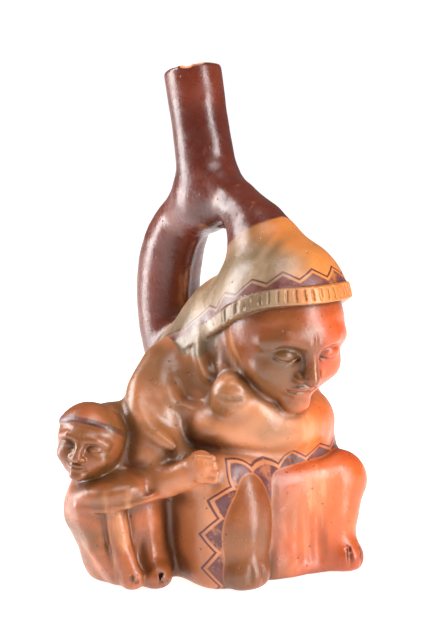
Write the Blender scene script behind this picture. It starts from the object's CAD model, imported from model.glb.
"""Stirrup spout vessel: a seated woman with a child at her side, modelled in clay and slip painted.

The form is one distance field in millimetres, joined with soft minimums as clay is.  It is turned
into a mesh on a grid, refined where the modelling is fine, and painted from the field's own parts.
"""

import bmesh
import bpy
import numpy as np
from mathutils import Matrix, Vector


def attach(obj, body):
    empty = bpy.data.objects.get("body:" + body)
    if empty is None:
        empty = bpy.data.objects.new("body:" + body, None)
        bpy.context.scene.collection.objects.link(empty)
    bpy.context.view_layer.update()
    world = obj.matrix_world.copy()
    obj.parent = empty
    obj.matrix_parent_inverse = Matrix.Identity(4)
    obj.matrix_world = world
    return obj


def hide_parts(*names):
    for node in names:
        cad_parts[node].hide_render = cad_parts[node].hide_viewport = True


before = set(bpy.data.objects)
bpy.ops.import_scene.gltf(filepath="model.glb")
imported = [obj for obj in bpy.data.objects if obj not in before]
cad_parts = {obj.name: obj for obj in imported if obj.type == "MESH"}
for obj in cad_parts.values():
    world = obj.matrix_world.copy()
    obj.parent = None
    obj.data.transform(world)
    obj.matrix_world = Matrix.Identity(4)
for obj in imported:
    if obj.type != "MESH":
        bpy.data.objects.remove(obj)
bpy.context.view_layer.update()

# ---------- primitives (millimetres) ----------

def smin(a, b, k):
    h = np.maximum(k - np.abs(a-b), 0.0)/k
    return np.minimum(a, b) - h*h*k*0.25

def smax(a, b, k):
    return -smin(-a, -b, k)

def rot(yaw=0, pitch=0, roll=0):
    y, p, r = np.radians([yaw, pitch, roll])
    Rz = np.array([[np.cos(y),-np.sin(y),0],[np.sin(y),np.cos(y),0],[0,0,1]])
    Rx = np.array([[1,0,0],[0,np.cos(p),-np.sin(p)],[0,np.sin(p),np.cos(p)]])
    Ry = np.array([[np.cos(r),0,np.sin(r)],[0,1,0],[-np.sin(r),0,np.cos(r)]])
    return (Rz@Rx@Ry).astype(np.float32)

def ell(p, c, r, R=None):
    q = p - np.array(c, np.float32)
    if R is not None:
        q = q@R
    r = np.array(r, np.float32)
    k0 = np.sqrt(((q/r)**2).sum(1))
    k1 = np.sqrt(((q/(r*r))**2).sum(1))
    return k0*(k0-1)/np.maximum(k1,1e-6)

def cone(p, a, b, ra, rb):
    a = np.array(a, np.float32)
    b = np.array(b, np.float32)
    ba = b-a
    l2 = float(ba@ba)
    rr = ra-rb
    a2 = l2-rr*rr
    il2 = 1.0/l2
    pa = p-a
    y = pa@ba
    z = y-l2
    x = pa*l2 - y[:,None]*ba
    x2 = (x*x).sum(1)
    y2 = y*y*l2
    z2 = z*z*l2
    k = np.sign(rr)*rr*rr*x2
    d1 = np.sqrt(x2+z2)*il2 - rb
    d2 = np.sqrt(x2+y2)*il2 - ra
    d3 = (np.sqrt(np.maximum(x2*a2*il2,0))+y*rr)*il2 - ra
    return np.where(np.sign(z)*a2*z2 > k, d1, np.where(np.sign(y)*a2*y2 < k, d2, d3))

def chain(p, pts, k=0.0):
    d = None
    for s, e in zip(pts[:-1], pts[1:]):
        c = cone(p, s[:3], e[:3], s[3], e[3])
        d = c if d is None else (smin(d, c, k) if k else np.minimum(d, c))
    return d

def spline(pts, n=6):
    P = np.array(pts, float)
    P = np.vstack([2*P[0]-P[1], P, 2*P[-1]-P[-2]])
    out = []
    for i in range(1, len(P)-2):
        for t in np.arange(n)/n:
            a,b,c,d = P[i-1],P[i],P[i+1],P[i+2]
            out.append(0.5*((2*b)+(c-a)*t+(2*a-5*b+4*c-d)*t*t+(3*b-a-3*c+d)*t**3))
    out.append(P[-2])
    return [tuple(x) for x in out]

def drum(p, c, r, h, e):
    """elliptic drum: half widths r, half height h, edge rounding e"""
    q = p - np.array(c, np.float32)
    rho = np.sqrt((q[:,0]/r[0])**2+(q[:,1]/r[1])**2)
    g = np.sqrt((q[:,0]/r[0]**2)**2+(q[:,1]/r[1]**2)**2)
    dr = rho*(rho-1)/np.maximum(g,1e-6) + e
    dz = np.abs(q[:,2]) - h + e
    return np.minimum(np.maximum(dr,dz),0) + np.sqrt(np.maximum(dr,0)**2+np.maximum(dz,0)**2) - e


def box3(p, c, b, rv, e):
    """upright block: half sizes b, plan corner radius rv, edge rounding e"""
    q = np.abs(p - np.array(c, np.float32))
    qx, qy = q[:,0]-(b[0]-rv), q[:,1]-(b[1]-rv)
    d2 = np.sqrt(np.maximum(qx,0)**2+np.maximum(qy,0)**2)+np.minimum(np.maximum(qx,qy),0)-rv
    dr, dz = d2+e, q[:,2]-(b[2]-e)
    return np.minimum(np.maximum(dr,dz),0)+np.sqrt(np.maximum(dr,0)**2+np.maximum(dz,0)**2)-e

# ---------- stirrup ----------
# points of a tube: x, y, z of its middle and its radius
ARCH = [(0,45,84,15.0), (0,52.3,102,15.2), (0,54.2,122,15.4), (0,49.5,141,14.6), (0,39.5,155,12.8),
        (0,24,165.5,11.8), (0,7,168.3,10.6), (0,-8,161.8,11), (0,-21,150,13.5)]
SPOUT = [(0,22,166,14.5),(0,22,174,14.4),(0,23.8,185,13.6),(0,27.7,200,13.3),(0,35.2,230,13.5)]
RIM, LEAN = (0,34.4,225.2), (0,0.255,0.967)

def stirrup(p):
    d = chain(p, spline(ARCH,4))
    s = chain(p, spline(SPOUT,4))
    top = (p - np.array(RIM,np.float32))@np.array(LEAN,np.float32)
    s = smax(s, top, 2)
    return smin(d, s, 10)

# ---------- heads ----------

def face(p, c, R, size, wide=1.0):
    """a head of half height size: local x right, -y the face, z up"""
    q = ((p-np.array(c,np.float32))@R)/size
    m = q.copy()
    m[:,0] = np.abs(m[:,0])/wide
    d = ell(m, (0,0.04,0.12), (0.84,0.90,0.90))
    d = smin(d, ell(m, (0,-0.22,-0.42), (0.60,0.56,0.52)), 0.25)
    d = smin(d, chain(m, [(0.08,-0.80,0.20,0.09),(0.36,-0.74,0.24,0.09),(0.58,-0.54,0.14,0.08)]), 0.16)
    d = smax(d, -ell(m, (0.33,-0.90,0.0), (0.21,0.20,0.13)), 0.14)
    d = smin(d, ell(m, (0.33,-0.66,-0.01), (0.19,0.15,0.12)), 0.05)
    lid = chain(m, [(0.16,-0.76,-0.05,0.022), (0.25,-0.785,-0.085,0.024), (0.33,-0.79,-0.095,0.024),
                    (0.43,-0.765,-0.08,0.024), (0.51,-0.69,-0.04,0.02)])
    d = smax(d, -lid, 0.02)
    d = smin(d, ell(m, (0.40,-0.50,-0.30), (0.26,0.24,0.22)), 0.16)
    nose = chain(m, [(0,-0.78,0.14,0.075),(0,-0.89,-0.12,0.095),(0,-0.95,-0.28,0.12)])
    nose = smin(nose, ell(m, (0.125,-0.85,-0.315), (0.085,0.10,0.075)), 0.06)
    d = smin(d, nose, 0.09)
    d = smax(d, -ell(m, (0.075,-0.93,-0.40), (0.04,0.06,0.035)), 0.03)
    lips = smin(chain(m, [(0,-0.79,-0.515,0.05),(0.09,-0.785,-0.505,0.05),(0.22,-0.71,-0.545,0.03)]),
                chain(m, [(0,-0.775,-0.605,0.055),(0.10,-0.765,-0.60,0.05),(0.20,-0.71,-0.565,0.03)]), 0.02)
    d = smin(d, lips, 0.06)
    line = chain(m, [(0,-0.855,-0.557,0.02),(0.11,-0.835,-0.556,0.02),(0.23,-0.745,-0.556,0.018)])
    d = smax(d, -line, 0.02)
    d = smin(d, ell(m, (0,-0.66,-0.80), (0.20,0.17,0.15)), 0.14)
    return d*size*min(wide,1)

def fingers(p, root, step, reach, r, n=4, k=0.8):
    """n finger capsules side by side"""
    root, step, reach = (np.array(v,float) for v in (root, step, reach))
    d = None
    for i in range(n):
        a = root + step*(i-(n-1)/2)
        L = 1 - 0.10*abs(i-(n-1)/2-0.3)
        c = cone(p, a, a+reach*L, r, r*0.92)
        d = c if d is None else smin(d, c, k)
    return d

# ---------- woman ----------
BOW = 18
HEAD, HEAD_H = (0,-35,113), 31.5
HR = rot(-9,BOW,0)

def woman_body(p):
    seat = box3(p, (0,6,26), (42,41,31), 37, 22)
    torso = cone(p, (0,14,52), (0,-2,92), 38, 26)
    d = smin(seat, torso, 16)
    lap = box3(p, (-1,-14,36), (41.5,25.5,24.5), 22, 9)
    d = smin(d, lap, 8)
    side = box3(p, (-25,-20,25), (18.5,22,29), 14, 12)
    d = smin(d, side, 8)
    chest = ell(p, (0,-17,70), (37,27.5,17))
    d = smin(d, chest, 4)
    return d

def mantle(p):
    return chain(p, [(0,-26,124,24.5),(0,-4,104.5,27),(0,11,83,34)], 10)
BROW_LEVEL = 129.5    # lower edge of the head cloth over the brow
BAND_FALL = 0.55      # how far that edge falls for each mm towards the back

def band_height(p):
    """height over the edge of the head cloth, which is level over the brow and then falls back"""
    y = p[:,1]
    soft = np.sqrt((y+52)**2+64)
    back = 0.5*((y+52)+soft)
    return (p[:,2] - (BROW_LEVEL - BAND_FALL*back))*0.88

def hood(p):
    d = ell(p, (0.5,-35.5,123), (29,29,28), rot(0,BOW,0))
    d = smin(d, cone(p, (0.5,-33,131),(0,-18,154), 21, 11), 13)
    return d

def legs(p):
    # her left leg and the cloth over it: one broad form, turned a little to her right
    d = box3(p, (9,-24,24), (25,17,29), 12, 12)
    broad = box3((p-np.array((11,-27,22),np.float32))@rot(-9), (0,0,0), (27,18,31), 12, 9)
    d = smin(d, broad, 3)
    knee = chain(p, [(31.5,-37,40,13.2),(27,-39,26,9.5),(25.5,-38.5,13,9)], 6)
    foot = chain(p, [(26,-38,8.5,9.5),(28.5,-46.5,6.5,8)])
    left = smin(smin(knee, foot, 6), d, 7)
    # her right leg: a flat oval slab standing out in front
    slab = ell(p, (-23.8,-36,26.5), (13.6,12.5,27.5), rot(0,0,3))
    toe = ell(p, (-24,-41,7), (11.5,8.5,8.5))
    right = smin(slab, toe, 6)
    # grooves between the toes
    for o in (-1,1):
        groove = [(-24.5+4.0*o,-50.2,0,1.7), (-24.5+3.7*o,-49.9,6,1.4), (-24.5+3.1*o,-49.0,12,0.5)]
        right = smax(right, -chain(p, groove), 1.2)
        groove = [(28.5+4.0*o,-54.8,0,1.7), (28.5+3.6*o,-54.3,6,1.4), (28.5+3.0*o,-51.5,12,0.5)]
        left = smax(left, -chain(p, groove), 1.2)
    # folds of the cloth over the left leg
    for x,w in ((-1.0,1.5),(5.0,2.0),(11.5,1.5)):
        fold = [(x,-47.6,36,0.5), (x+0.3,-46.6,27,w*0.8), (x+0.8,-46.6,17,w), (x+1.2,-47.2,9,w*0.8)]
        left = smax(left, -chain(p, fold), 4)
    return smin(left, right, 0.8)

def arms(p):
    r = chain(p, spline([(-28,10,89,15.5),(-41,4,75,15.5),(-47,-4,58,12.5)],4))
    fore = chain(p, spline([(-54,-11,45,6.5),(-48.5,-24,51,6.6),(-43,-31.5,56,6.2)],4))
    r = smin(r, fore, 6)
    hand = ell(p, (-43.5,-33.5,57), (5.5,6.5,7), rot(-30,-12,0))
    r = smin(r, hand, 2.5)
    r = smin(r, fingers(p, (-47,-36.2,57.4), (0.1,-0.2,-3.1), (6.5,-4.2,-0.9), 1.7, 4, 0.7), 1.0)
    l = chain(p, spline([(26,8,88,14),(31,-9,65,13.5),(18,-27,65,12.8),(-8,-33,74,10.5),(-22,-30,84,9)],4))
    palm = ell(p, (-25.5,-31,86), (8.5,9,9.5), rot(0,8,0))
    for z in (90.3,86.0,81.7):
        palm = smax(palm, -chain(p, [(-34.8,-32.5,z+0.4,0.5),(-32,-37.6,z,0.9),(-25.5,-40.6,z-0.8,0.8)]), 1.2)
    l = smin(l, palm, 2.5)
    return smin(r, l, 4)

def cloak_folds(p, d):
    edge = [(-38,10,97,2.5), (-50,6,86,3), (-55,-2,77,3), (-54.5,-11,70,3), (-48,-19,63.5,1.6)]
    d = smin(d, chain(p, spline(edge,4)), 6)
    d = smin(d, chain(p, spline([(-31,6,100,2),(-40,1,91,2.5),(-39,-9,82,2.5),(-32,-15,76,1.4)],4)), 5)
    d = smax(d, -ell(p, (-37,-15,90), (7,6,9), rot(-40,0,0)), 5)
    d = smax(d, -ell(p, (-29,-18,102), (4,4.5,8), rot(-40,10,0)), 4)
    d = smin(d, chain(p, spline([(-25.5,-11,111,2),(-27.5,-12,102,2.2),(-27,-17,93,2.2)],4)), 4)
    return d
CH, CH_H = (-74,8,63.5), 16.4
CHILD_WIDE = 1.08               # breadth of the child's head against the woman's proportions
CAP_EDGE = np.array((-74,8,69.5), np.float32)
CAP_UP = np.array((0,0.34,0.94), np.float32)
CR = rot(-52,-6,8)

def child(p):
    h = face(p, CH, CR, CH_H, CHILD_WIDE)
    cap = ell(p, (-73.3,9,66.2), (15.6,15.4,15.4), CR)
    cap = smax(cap, -((p-CAP_EDGE)@(CR@CAP_UP)), 1.5)
    veil = chain(p, [(-69,12,66.5,12.5),(-57,13,65.5,12),(-46,9,64,12)], 6)
    web = cone(p, (-62,11,56), (-46,6,52), 10, 12)
    body = chain(p, [(-69,11,50,8.8),(-69.5,8.5,33,16),(-61,8,11,13.5)])
    base = ell(p, (-56,3,9), (19,21,13))
    back = box3(p, (-50,5,22), (14,17,25), 10, 10)
    tunic = ell(p, (-66.5,0.5,42.5), (19,18.5,8), rot(-25,-10,-7))
    d = smin(smin(body, base, 8), back, 8)
    d = smin(d, tunic, 4)
    d = smin(d, web, 6)
    hem = [(-84,2.5,37.5,1.6), (-79,-8.6,38,2.0), (-70,-14.6,39.8,2.0), (-60,-18.8,42.3,2.0), (-51,-20,44.5,2.0)]
    sill = chain(p, spline(hem,4))
    d = smin(d, sill, 2.5)
    l0 = chain(p, [(-78,1,33,6.5),(-76,-2,20,6),(-69,-7,8,7)])
    l1 = chain(p, [(-72,-8,36,5.2),(-70.5,-10.5,20,5.2),(-67,-14,6.5,6)])
    l2 = ell(p, (-57,-7,26), (10,9,22))
    f2 = ell(p, (-56,-16.5,6), (7.5,8,6.8), rot(-25))
    d = smin(smin(smin(smin(d, l0, 4), l2, 5), f2, 3), l1, 1.8)
    d = smax(d, -ell(p, (-62.5,-17,17), (2.6,5,8)), 3)
    for (x,y) in ((-70.5,-19.5),(-68,-20.2),(-58,-24),(-55.5,-24)):
        d = smax(d, -cone(p, (x,y,3),(x+0.3,y+1.2,8.5),0.7,0.5), 0.8)
    d = smin(d, veil, 6)
    return smin(smin(d, cap, 1), h, 2)

def figure(p):
    cloth = smin(hood(p), mantle(p), 8)
    d = smin(woman_body(p), arms(p), 6)
    d = smin(d, chain(p, [(0,-26,118,22),(0,-6,98,26),(0,8,82,34)], 10), 8)
    d = cloak_folds(p, d)
    d = smin(d, face(p, HEAD, HR, HEAD_H), 3)
    cloth = smax(cloth, -band_height(p), 1.5)
    d = smin(d, cloth, 1.0)
    d = smin(d, legs(p), 1.5)
    # slit on the breast
    d = smax(d, -chain(p, [(-31,-38,73,0.7),(-32.5,-40,66,1.0),(-31,-41,60,0.8)]), 1.2)
    d = smin(d, child(p), 4)
    return d

def outer(p):
    d = smin(figure(p), stirrup(p), 9)
    return smax(d, -p[:,2], 3)

# ---------- the chamber ----------
WALL = 4.6
THIN_WALL = 3.4
BORE = [(0,22,166,10.6),(0,22,174,10.6),(0,23.8,185,10.2),(0,27.7,200,10.0),(0,37.2,238,10.4)]

def hollow(p):
    body = figure(p) + WALL
    tubes = chain(p, spline([(x,y,z,r-THIN_WALL) for x,y,z,r in ARCH],4))
    d = smin(body, tubes, 6)
    d = smax(d, WALL - p[:,2], 4)
    return smin(d, chain(p, spline(BORE,4)), 6)

# ---------- surface relief: what the hand left in the clay ----------

def wave_noise(p, scale, seed):
    rng = np.random.default_rng(seed)
    out = np.zeros(len(p), np.float32)
    for i in range(6):
        k = rng.normal(size=3)
        k = k/np.linalg.norm(k)*(1+0.5*rng.random())*6.283/scale
        out += np.sin(p@k.astype(np.float32) + 6.283*rng.random())
    return out/3.0
FRINGE = 6.4

def band_turn(p):
    """arc length round the head from the middle of the brow, positive to her left"""
    return np.arctan2(p[:,0], -(p[:,1]+32))*29.0

def soft_step(x, a, b):
    t = np.clip((x-a)/(b-a), 0, 1)
    return t*t*(3-2*t)

def fringe_zone(p):
    h = band_height(p)
    turn = np.abs(band_turn(p))
    return soft_step(h,-0.6,0.3)*(1-soft_step(h,FRINGE-0.5,FRINGE+0.4))*(1-soft_step(turn,49,51)), h, turn

def relief(p):
    zone, h, turn = fringe_zone(p)
    near = (p[:,2] > 95) & (p[:,1] < 0)
    cut = np.abs(np.mod(band_turn(p)/3.6, 1.0) - 0.5)*3.6
    cuts = (1-soft_step(cut, 0.15, 0.75))*0.8*soft_step(h,0.6,1.6)*(1-soft_step(h,5.0,6.0))
    out = np.where(near, zone*(1.15 - cuts), 0)
    return out + 0.22*wave_noise(p, 38, 3) + 0.10*wave_noise(p, 13, 7)
# chips of the rim: middle and half sizes
CHIPS = [((-9.8,25.6,228.0), (3.4,3.2,1.7)),
         ((-4.6,22.6,229.0), (2.6,2.4,1.0)),
         ((4.5,22.3,229.2), (2.0,2.0,0.8)),
         ((11.5,30,227.4), (2.4,2.6,0.9)),
         ((3,47.6,222.3), (4.5,2.6,1.2))]

def chips(p):
    d = None
    for c,r in CHIPS:
        e = ell(p, c, r)
        d = e if d is None else np.minimum(d, e)
    return d

def seam(p):
    """the ridge left by the mould joint on the inner side of the loop"""
    pts = [(0,39.5,100,0.8),(0,39,118,0.9),(0,35.5,136,0.9),(0,27.5,148.5,0.9),(0,16,154,0.8),(0,4,153.6,0.7)]
    return chain(p, spline(pts,4))

def vessel_skin(p):
    d = outer(p)
    d = smin(d, seam(p), 2.2)
    d = d - relief(p)
    d = smax(d, -chips(p), 0.6)
    d = smax(d, -chain(p, spline(BORE,4)[12:]), 1.2)
    return smax(d, -p[:,2], 1.0)

# ---------- from field to mesh ----------

def field_on_grid(field, lo, hi, step, coarse=4):
    lo = np.array(lo, float)
    hi = np.array(hi, float)
    big = step*coarse
    n = np.ceil((hi-lo)/big).astype(int)
    axes = [lo[i] + big*np.arange(n[i]+1) for i in range(3)]
    g = np.stack(np.meshgrid(*axes, indexing="ij"), -1).reshape(-1,3).astype(np.float32)
    c = field(g).reshape(n+1)
    corners = [c[i:n[0]+i, j:n[1]+j, k:n[2]+k] for i in (0,1) for j in (0,1) for k in (0,1)]
    low = np.minimum.reduce(corners)
    high = np.maximum.reduce(corners)
    near = (low < big*0.9) & (high > -big*0.9)
    def spread(a):
        for axis in range(3):
            a = np.repeat(a, coarse, axis)
        return a
    fine = np.pad(spread(np.where(low>0,1,-1).astype(np.float32)*big), ((0,1),)*3, mode="edge")
    m = spread(near)
    mask = np.zeros(fine.shape, bool)
    for i in (0,1):
        for j in (0,1):
            for k in (0,1):
                mask[i:mask.shape[0]-1+i, j:mask.shape[1]-1+j, k:mask.shape[2]-1+k] |= m
    index = np.argwhere(mask)
    fine[mask] = field((lo + index*step).astype(np.float32))
    return fine, lo, step

def surface_nets(fine, lo, step):
    inside = fine < 0
    nx, ny, nz = fine.shape
    count = np.zeros((nx-1,ny-1,nz-1), np.int8)
    for i in (0,1):
        for j in (0,1):
            for k in (0,1):
                count += inside[i:nx-1+i, j:ny-1+j, k:nz-1+k]
    cell = (count>0)&(count<8)
    ci = np.argwhere(cell)
    vid = -np.ones(cell.shape, np.int64)
    vid[cell] = np.arange(len(ci))
    acc = np.zeros((len(ci),3))
    num = np.zeros(len(ci))
    for a in range(3):
        for b in (0,1):
            for c in (0,1):
                o0 = np.zeros(3,int)
                o0[(a+1)%3] = b
                o0[(a+2)%3] = c
                o1 = o0.copy()
                o1[a] = 1
                p0 = ci+o0
                p1 = ci+o1
                v0 = fine[p0[:,0],p0[:,1],p0[:,2]]
                v1 = fine[p1[:,0],p1[:,1],p1[:,2]]
                m = (v0<0)!=(v1<0)
                t = v0[m]/(v0[m]-v1[m])
                acc[m] += p0[m] + t[:,None]*(o1-o0)
                num[m] += 1
    verts = lo + (acc/num[:,None])*step
    quads = []
    for a in range(3):
        b, c = (a+1)%3, (a+2)%3
        s0 = [slice(None)]*3
        s1 = [slice(None)]*3
        s0[a] = slice(0,-1)
        s1[a] = slice(1,None)
        e = np.argwhere(inside[tuple(s0)] != inside[tuple(s1)])
        e = e[(e[:,b]>0)&(e[:,c]>0)&(e[:,b]<cell.shape[b])&(e[:,c]<cell.shape[c])]
        ob = np.zeros(3,int)
        ob[b] = 1
        oc = np.zeros(3,int)
        oc[c] = 1
        q = np.stack([vid[tuple((e-x).T)] for x in (ob+oc, oc, 0*ob, ob)], 1)
        flip = ~inside[tuple(e.T)]
        q[flip] = q[flip][:,::-1]
        quads.append(q)
    return verts, np.concatenate(quads)

def gradient(field, p, eps=0.05):
    k = np.array([[1,-1,-1],[-1,-1,1],[-1,1,-1],[1,1,1]], np.float32)
    g = np.zeros_like(p)
    for v in k:
        g += v*field((p+v*np.float32(eps)).astype(np.float32))[:,None]
    return g/(4*eps)

def settle(field, v, steps):
    v = v.astype(np.float32)
    for _ in range(steps):
        d = field(v)
        g = gradient(field, v)
        v = v - np.clip(d/np.maximum((g*g).sum(1),0.25), -1, 1)[:,None]*g
    return v

def chunked(field, size=60000):
    def run(p):
        return np.concatenate([field(p[i:i+size]) for i in range(0, max(len(p),1), size)])
    return run

def build_mesh(name, field, lo, hi, step, steps, zones=(), drop=None):
    """a mesh of the field's zero surface, in metres, with the field's own normals"""
    verts, quads = surface_nets(*field_on_grid(field, lo, hi, step))
    verts = settle(field, verts, steps)
    mesh = bpy.data.meshes.new(name)
    mesh.from_pydata(verts.tolist(), [], quads.tolist())
    if zones or drop:
        bm = bmesh.new()
        bm.from_mesh(mesh)
        if drop:
            gone = drop(verts)
            bm.verts.ensure_lookup_table()
            bmesh.ops.delete(bm, geom=[v for v in bm.verts if gone[v.index]], context="VERTS")
            bm.verts.index_update()
        for zone in zones:
            co = np.array([v.co[:] for v in bm.verts], np.float32)
            mark = zone(co)
            bm.verts.ensure_lookup_table()
            edges = [e for e in bm.edges if mark[e.verts[0].index] and mark[e.verts[1].index]]
            bmesh.ops.subdivide_edges(bm, edges=edges, cuts=1, use_grid_fill=True)
            bm.verts.index_update()
        bmesh.ops.triangulate(bm, faces=[f for f in bm.faces if len(f.verts) > 4])
        bm.to_mesh(mesh)
        bm.free()
        co = np.zeros(len(mesh.vertices)*3, np.float32)
        mesh.vertices.foreach_get("co", co)
        verts = settle(field, co.reshape(-1,3), 2)
    mesh.vertices.foreach_set("co", (verts/1000).astype(np.float32).ravel())
    mesh.polygons.foreach_set("use_smooth", np.ones(len(mesh.polygons), bool))
    normals = gradient(field, verts.astype(np.float32))
    normals /= np.maximum(np.linalg.norm(normals, axis=1), 1e-6)[:,None]
    mesh.update()
    mesh.normals_split_custom_set_from_vertices(normals.tolist())
    return mesh, verts.astype(np.float32), normals.astype(np.float32)

def near_woman_face(p):
    return (ell(p, (0,-50,112), (30,22,33)) < 0) & (p[:,1] < -36) & (p[:,2] < 140)

def near_child_face(p):
    return ((p - np.array((-76,3,63),np.float32))**2).sum(1) < 19.0**2

def near_child_front(p):
    q = (p-np.array(CH,np.float32))@CR
    return (q[:,1] < -3) & (np.abs(q[:,0]) < 14) & (np.abs(q[:,2]) < 16)

def below_rim(p):
    return (np.array(RIM,np.float32) - p)@np.array(LEAN,np.float32)

def in_bore(p):
    return chain(p, spline(BORE,4)) < 1.5

def deep_in_bore(p):
    return in_bore(p) & (below_rim(p) > 21)

def near_mouth(p):
    return (below_rim(p) < 20) & (p[:,2] > 190)

STEP = 1.45
skin_field = chunked(vessel_skin)
outside, skin_points, skin_normals = build_mesh(
    "vessel_skin", skin_field, (-94,-72,-4), (52,76,236), STEP, 2,
    (near_woman_face, near_child_face, near_child_front), deep_in_bore)

def add_float(mesh, name, values):
    a = mesh.attributes.new(name, "FLOAT", "POINT")
    a.data.foreach_set("value", np.asarray(values, np.float32))

# ---------- where each colour goes, as smooth distances in millimetres ----------

def paint_fields(p, n):
    out = {}
    fig = figure(p)
    tubes = stirrup(p)
    plane = (p - np.array((-9,-20,154),np.float32))@np.array((-0.10,0.55,0.83),np.float32)
    front = np.minimum(plane, (fig-tubes)+40)
    rear = fig - tubes
    out["slip"] = np.where(p[:,1] > 20, np.where(p[:,2] > 150, 30, rear), front)
    head = face(p, HEAD, HR, HEAD_H)
    cloth = smin(hood(p), mantle(p), 8)
    band = band_height(p)
    cloth_cut = np.maximum(cloth, -band)
    leg = legs(p)
    body = smin(woman_body(p), arms(p), 6)
    kid = child(p)
    out["band"] = band
    out["turn"] = band_turn(p)
    out["cloth"] = np.minimum(np.minimum(body, head), np.minimum(leg, kid)) - cloth_cut
    out["face"] = np.minimum(np.minimum(body, kid), np.minimum(leg, cloth_cut)) - head
    out["legs"] = np.minimum(body, np.minimum(kid, cloth_cut)) - leg
    out["hem"] = leg
    qx = np.abs(p[:,0]) - 23
    qz = p[:,2] - 41
    along = np.where(qz < 0, p[:,2], np.where(qx < 0, 63 + 23 - np.abs(p[:,0]), 41 + 14*np.arctan2(qz, qx)))
    out["hem_along"] = np.where(p[:,0] < 0, along, 172 - along)
    out["side"] = p[:,0] + 3*wave_noise(p, 40, 11)
    out["front"] = np.minimum(-18 - p[:,1], 66 - p[:,2])
    out["child"] = np.minimum(np.minimum(body, head), np.minimum(leg, cloth_cut)) - kid
    out["cap_height"] = (p-CAP_EDGE)@(CR@CAP_UP)
    kid_head = face(p, CH, CR, CH_H, CHILD_WIDE)
    out["child_head"] = -kid_head
    reach = 7.0
    open_air = outer((p + n*np.float32(reach)).astype(np.float32))/reach
    out["air"] = np.clip(open_air, 0, 1)
    near_air = outer((p + n*np.float32(1.6)).astype(np.float32))/1.6
    out["crease"] = np.clip(near_air, 0, 1)
    out["chip"] = -chips(p)
    return out

def in_chunks(fn, p, n, size=60000):
    parts = [fn(p[i:i+size], n[i:i+size]) for i in range(0, len(p), size)]
    return {k: np.concatenate([q[k] for q in parts]) for k in parts[0]}

for name, values in in_chunks(paint_fields, skin_points, skin_normals).items():
    add_float(outside, name, values)

inside_field = chunked(lambda p: -hollow(p))
INNER_STEP = 3.2
inside = build_mesh(
    "vessel_inside", inside_field, (-90,-70,0), (50,74,244), INNER_STEP, 1, (), near_mouth)[0]

skin_object = bpy.data.objects.new("vessel_body", outside)
inner_object = bpy.data.objects.new("vessel_chamber", inside)
for o in (skin_object, inner_object):
    bpy.context.scene.collection.objects.link(o)

# ---------- material ----------

def linear(r, g, b):
    def one(c):
        c = c/255
        return c/12.92 if c <= 0.04045 else ((c+0.055)/1.055)**2.4
    return (one(r), one(g), one(b), 1.0)

class Paint:
    """short names for building a node tree"""
    def __init__(self, name):
        self.material = bpy.data.materials.new(name)
        self.material.use_nodes = True
        self.tree = self.material.node_tree
        self.tree.nodes.clear()
        self.out = self.tree.nodes.new("ShaderNodeOutputMaterial")
        self.shader = self.tree.nodes.new("ShaderNodeBsdfPrincipled")
        self.tree.links.new(self.shader.outputs[0], self.out.inputs[0])
        self.place = self.tree.nodes.new("ShaderNodeTexCoord").outputs["Object"]
    def put(self, socket, value):
        if isinstance(value, bpy.types.NodeSocket):
            self.tree.links.new(value, socket)
        else:
            socket.default_value = value
    def math(self, op, a, b=0.0, c=None, clamp=False):
        node = self.tree.nodes.new("ShaderNodeMath")
        node.operation = op
        node.use_clamp = clamp
        self.put(node.inputs[0], a)
        self.put(node.inputs[1], b)
        if c is not None:
            self.put(node.inputs[2], c)
        return node.outputs[0]
    def step(self, value, low, high, a=0.0, b=1.0):
        node = self.tree.nodes.new("ShaderNodeMapRange")
        node.interpolation_type = "SMOOTHSTEP"
        for socket, v in zip(node.inputs, (value, low, high, a, b)):
            self.put(socket, v)
        return node.outputs[0]
    def mix(self, amount, a, b, blend="MIX"):
        node = self.tree.nodes.new("ShaderNodeMix")
        node.data_type = "RGBA"
        node.blend_type = blend
        self.put(node.inputs["Factor"], amount)
        self.put([s for s in node.inputs if s.name == "A" and s.type == "RGBA"][0], a)
        self.put([s for s in node.inputs if s.name == "B" and s.type == "RGBA"][0], b)
        return [s for s in node.outputs if s.type == "RGBA"][0]
    def noise(self, scale, detail=4.0, rough=0.55, warp=0.0, stretch=None):
        node = self.tree.nodes.new("ShaderNodeTexNoise")
        where = self.place
        if stretch:
            m = self.tree.nodes.new("ShaderNodeMapping")
            self.tree.links.new(where, m.inputs["Vector"])
            m.inputs["Scale"].default_value = stretch
            where = m.outputs[0]
        self.tree.links.new(where, node.inputs["Vector"])
        node.inputs["Scale"].default_value = scale
        node.inputs["Detail"].default_value = detail
        node.inputs["Roughness"].default_value = rough
        node.inputs["Distortion"].default_value = warp
        return node.outputs[0]
    def cells(self, scale):
        node = self.tree.nodes.new("ShaderNodeTexVoronoi")
        self.tree.links.new(self.place, node.inputs["Vector"])
        node.inputs["Scale"].default_value = scale
        return node.outputs["Distance"]
    def value(self, name):
        node = self.tree.nodes.new("ShaderNodeAttribute")
        node.attribute_name = name
        return node.outputs["Fac"]

# zigzag borders, in millimetres: length of a tooth, its height, and the plain strip below it
CLOTH_TOOTH, CLOTH_TEETH, CLOTH_STRIP = 15.0, 3.4, 1.4
DRESS_TOOTH, DRESS_TEETH, DRESS_STRIP = 15.5, 4.4, 0.6
FAR = 400.0                     # whole shift that keeps the run of a border positive

def zigzag(p, along, wave):
    """a triangle wave from 0 to 1"""
    return p.math("PINGPONG", p.math("DIVIDE", along, wave/2), 1.0)

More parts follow.
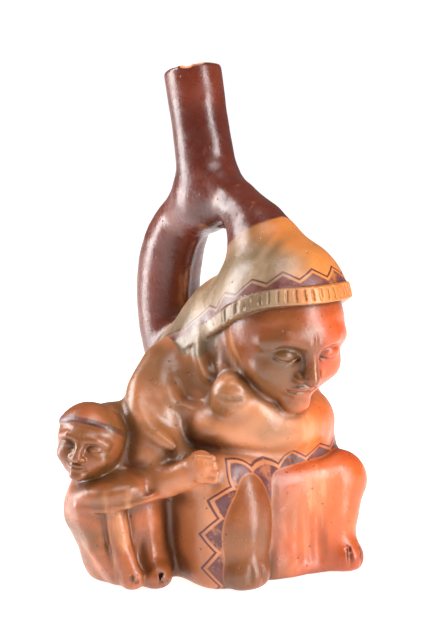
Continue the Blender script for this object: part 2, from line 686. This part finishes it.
def vessel_material():
    p = Paint("slip_painted_clay")
    broad = p.noise(14, 3, 0.5, 0.6)
    cloud = p.noise(26, 5, 0.6, 0.4)
    fine = p.noise(160, 6, 0.62)
    grain = p.noise(700, 4, 0.6)
    streak = p.noise(60, 4, 0.6, 0.2, (1.0, 1.0, 0.22))
    crease = p.value("crease")
    air = p.value("air")
    wob = p.math("MULTIPLY", p.math("SUBTRACT", p.noise(90, 2), 0.5), 1.6)
    side = p.value("side")
    # bare orange clay
    clay = p.mix(p.step(cloud, 0.35, 0.7), linear(176,70,24), linear(196,94,42))
    clay = p.mix(p.step(broad, 0.5, 0.75), clay, linear(136,58,24))
    # cream and orange slip on the dress
    cream = p.mix(p.step(cloud, 0.3, 0.7), linear(164,94,54), linear(188,122,82))
    warm = p.mix(p.step(cloud, 0.3, 0.7), linear(190,88,38), linear(200,108,50))
    cream = p.mix(p.step(side, -14.0, 16.0), cream, warm)
    cream = p.mix(p.step(broad, 0.48, 0.8), cream, linear(128,68,32))
    # ochre slip of the head cloth
    ochre = p.mix(p.step(cloud, 0.3, 0.7), linear(176,98,40), linear(192,118,56))
    ochre_left = p.mix(p.step(cloud, 0.35, 0.65), linear(104,80,54), linear(148,122,96))
    ochre = p.mix(p.step(side, -20.0, -2.0), ochre_left, ochre)
    # burnished red slip of the stirrup
    red = p.mix(p.step(cloud, 0.3, 0.75), linear(70,24,14), linear(98,38,20))
    red = p.mix(p.step(broad, 0.55, 0.8), red, linear(54,20,13))
    purple = p.mix(p.step(fine, 0.35, 0.7), linear(78,34,34), linear(104,54,50))
    line = linear(84,34,34)
    olive = p.mix(p.step(cloud, 0.35, 0.7), linear(92,50,20), linear(124,76,36))
    smoky = p.math("MULTIPLY", p.step(side, 8.0, -16.0), 0.8)
    skin = p.mix(smoky, clay, olive)

    colour = cream
    cloth = p.step(p.math("ADD", p.value("cloth"), wob), -0.6, 0.6)
    colour = p.mix(cloth, colour, ochre)
    face_zone = p.step(p.value("face"), -0.4, 0.4)
    leg_zone = p.step(p.value("legs"), -0.4, 0.4)
    colour = p.mix(face_zone, colour, skin)
    colour = p.mix(leg_zone, colour, skin)
    kid_zone = p.step(p.value("child"), -1.5, 1.5)
    kid = p.mix(p.step(cloud, 0.35, 0.65), linear(120,62,28), linear(170,90,48))
    colour = p.mix(kid_zone, colour, kid)

    # border of the head cloth: zigzag above the fringe, and its outline
    band = p.value("band")
    turn = p.value("turn")
    height = p.math("SUBTRACT", band, FRINGE)
    wave = p.math("MULTIPLY", zigzag(p, p.math("ADD", turn, FAR), CLOTH_TOOTH), CLOTH_TEETH)
    edge = p.math("SUBTRACT", p.math("ADD", wave, CLOTH_STRIP), height)
    edge = p.math("ADD", edge, p.math("MULTIPLY", wob, 0.35))
    worn = p.step(p.noise(130, 5, 0.7), 0.34, 0.50, 0.35, 1.0)
    zig = p.math("MULTIPLY", p.math("MULTIPLY", p.step(edge, -0.25, 0.25), p.step(height, -0.2, 0.3)), worn)
    off = p.math("ABSOLUTE", p.math("ADD", edge, 1.5))
    outline = p.math("MULTIPLY", p.step(off, 0.28, 0.52, 1.0, 0.0), p.step(height, 0.3, 0.9))
    on_cloth = p.step(p.value("cloth"), -0.2, 0.3)
    colour = p.mix(p.math("MULTIPLY", zig, on_cloth), colour, purple)
    colour = p.mix(p.math("MULTIPLY", outline, on_cloth), colour, line)

    # border of the dress round the legs
    hem = p.value("hem")
    along = p.math("ADD", p.value("hem_along"), FAR)
    hwave = p.math("MULTIPLY", zigzag(p, along, DRESS_TOOTH), DRESS_TEETH)
    hedge = p.math("SUBTRACT", p.math("ADD", hwave, DRESS_STRIP), hem)
    hedge = p.math("ADD", hedge, p.math("MULTIPLY", wob, 0.35))
    on_dress = p.math("MULTIPLY", p.step(p.value("legs"), 0.0, -0.5),
                      p.math("MULTIPLY", p.step(p.value("child"), 0.0, -1.0), p.step(p.value("front"), 0.0, 1.0)))
    dress_zig = p.math("MULTIPLY", p.math("MULTIPLY", p.step(hedge, -0.25, 0.25), on_dress), worn)
    colour = p.mix(dress_zig, colour, purple)
    hoff = p.math("ABSOLUTE", p.math("ADD", hedge, 1.5))
    colour = p.mix(p.math("MULTIPLY", p.step(hoff, 0.28, 0.52, 1.0, 0.0), on_dress), colour, line)

    # the purple edge of the child's cap
    cap_height = p.value("cap_height")
    cap_band = p.math("MULTIPLY", p.step(cap_height, -0.3, 0.3), p.step(cap_height, 3.1, 2.5))
    cap_band = p.math("MULTIPLY", cap_band, p.step(p.value("child_head"), -3.2, -2.4))
    colour = p.mix(cap_band, colour, purple)
    # red slip of the loop and spout
    slip = p.step(p.math("ADD", p.value("slip"), p.math("MULTIPLY", wob, 2.0)), -0.8, 0.8)
    colour = p.mix(slip, colour, red)
    # dirt and smoke in the hollows, wear where it stands out
    low = p.math("MULTIPLY", p.step(crease, 0.3, 0.95, 1.0, 0.0), 0.6)
    colour = p.mix(low, colour, linear(64,34,18))
    shade = p.step(air, 0.1, 0.95, 0.75, 0.0)
    colour = p.mix(shade, colour, linear(92,50,22))
    # olive smoke clouds, mostly at her right side
    smoke = p.math("MULTIPLY", p.step(p.noise(22, 3, 0.5, 0.8), 0.44, 0.62), p.step(side, 16.0, -14.0))
    smoke = p.math("MULTIPLY", smoke, p.math("SUBTRACT", 1.0, slip))
    colour = p.mix(p.math("MULTIPLY", smoke, 0.6), colour, linear(86,60,28))
    # scratches and rubbed streaks
    scuff = p.step(streak, 0.60, 0.72)
    colour = p.mix(p.math("MULTIPLY", scuff, 0.30), colour, linear(222,160,116))
    # chips show the bare clay
    bare = p.step(p.value("chip"), -0.9, -0.3)
    colour = p.mix(bare, colour, linear(214,138,92))
    pits = p.step(p.cells(230), 0.05, 0.14, 1.0, 0.0)
    pit_here = p.math("MULTIPLY", pits, p.step(p.noise(35, 2), 0.48, 0.6))
    colour = p.mix(p.math("MULTIPLY", pit_here, 0.7), colour, linear(92,56,34))
    p.put(p.shader.inputs["Base Color"], colour)
    rough = p.math("ADD", p.step(fine, 0.3, 0.75, 0.26, 0.44), p.math("MULTIPLY", slip, -0.05))
    rough = p.math("ADD", rough, p.math("MULTIPLY", bare, 0.3), clamp=True)
    p.put(p.shader.inputs["Roughness"], rough)
    p.shader.inputs["Specular IOR Level"].default_value = 0.5
    bump = p.tree.nodes.new("ShaderNodeBump")
    bump.inputs["Strength"].default_value = 0.6
    bump.inputs["Distance"].default_value = 0.0006
    height = p.math("ADD", p.math("MULTIPLY", fine, 0.6), p.math("MULTIPLY", grain, 0.25))
    height = p.math("ADD", height, p.math("MULTIPLY", streak, 0.4))
    height = p.math("SUBTRACT", height, p.math("MULTIPLY", pit_here, 1.2))
    p.put(bump.inputs["Height"], height)
    p.tree.links.new(bump.outputs[0], p.shader.inputs["Normal"])
    return p.material

def chamber_material():
    p = Paint("bare_clay_inside")
    colour = p.mix(p.step(p.noise(60, 4), 0.3, 0.7), linear(150,88,56), linear(188,122,82))
    p.put(p.shader.inputs["Base Color"], colour)
    p.put(p.shader.inputs["Roughness"], p.step(p.noise(200, 3), 0.3, 0.7, 0.75, 0.92))
    return p.material

outside.materials.append(vessel_material())
inside.materials.append(chamber_material())
for o in (skin_object, inner_object):
    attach(o, "root")
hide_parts("vessel")

# ---------- studio ----------

def stage_material(name, colour, rough):
    p = Paint(name)
    p.put(p.shader.inputs["Base Color"], colour)
    p.shader.inputs["Roughness"].default_value = rough
    return p.material

FLOOR_GLOW = 0.85    # makes the floor as white as the backdrop
AMBIENT = 0.20       # level of the sky on the clay
BACKDROP = 1.05      # level of the sky as the camera sees it

bpy.ops.mesh.primitive_plane_add(size=8, location=(0, 0, -0.0002))
floor = bpy.context.object
floor.name = "floor"
pale = stage_material("pale_floor", (0.92,0.92,0.92,1), 0.1)
pale.node_tree.nodes["Principled BSDF"].inputs["Emission Color"].default_value = (1,1,1,1)
pale.node_tree.nodes["Principled BSDF"].inputs["Emission Strength"].default_value = FLOOR_GLOW
floor.data.materials.append(pale)

TARGET = Vector((-0.011, 0.002, 0.113))
AZIMUTH = np.radians(-36.0)
ELEVATION = np.radians(10.0)
BACK = Vector((np.sin(AZIMUTH)*np.cos(ELEVATION), -np.cos(AZIMUTH)*np.cos(ELEVATION), np.sin(ELEVATION)))
camera_data = bpy.data.cameras.new("camera")
camera = bpy.data.objects.new("camera", camera_data)
bpy.context.scene.collection.objects.link(camera)
camera_data.lens = 100.0
camera_data.sensor_width = 36.0
camera_data.sensor_fit = "AUTO"
camera.location = TARGET + BACK*0.808
camera.rotation_euler = BACK.to_track_quat("Z", "Y").to_euler()
bpy.context.scene.camera = camera

def softbox(name, place, look, size, power, colour=(1,1,1)):
    data = bpy.data.lights.new(name, "AREA")
    data.shape = "RECTANGLE"
    data.size, data.size_y = size
    data.energy = power
    data.color = colour
    o = bpy.data.objects.new(name, data)
    o.location = place
    o.rotation_euler = (Vector(place)-Vector(look)).to_track_quat("Z", "Y").to_euler()
    bpy.context.scene.collection.objects.link(o)

def from_camera(right, front, up):
    side = Vector((np.cos(AZIMUTH), np.sin(AZIMUTH), 0))
    toward = Vector((np.sin(AZIMUTH), -np.cos(AZIMUTH), 0))
    return Vector((0,0,0.1)) + side*right + toward*front + Vector((0,0,up))

softbox("left_box", from_camera(-0.62, -0.12, 0.14), (0,0,0.12), (0.30, 0.9), 12)
softbox("right_box", from_camera(0.55, 0.42, 0.18), (0,0,0.12), (0.16, 0.7), 8)
softbox("top_box", from_camera(0.1, 0.35, 0.85), (0,0,0.1), (0.5, 0.5), 5)

world = bpy.data.worlds.new("studio")
world.use_nodes = True
bpy.context.scene.world = world
tree = world.node_tree
sky = tree.nodes["Background"]
sky.inputs[0].default_value = (1,1,1,1)
ray = tree.nodes.new("ShaderNodeLightPath")
level = tree.nodes.new("ShaderNodeMapRange")
level.inputs[3].default_value = AMBIENT
level.inputs[4].default_value = BACKDROP
tree.links.new(ray.outputs["Is Camera Ray"], level.inputs[0])
tree.links.new(level.outputs[0], sky.inputs[1])
bpy.context.scene.view_settings.view_transform = "Standard"
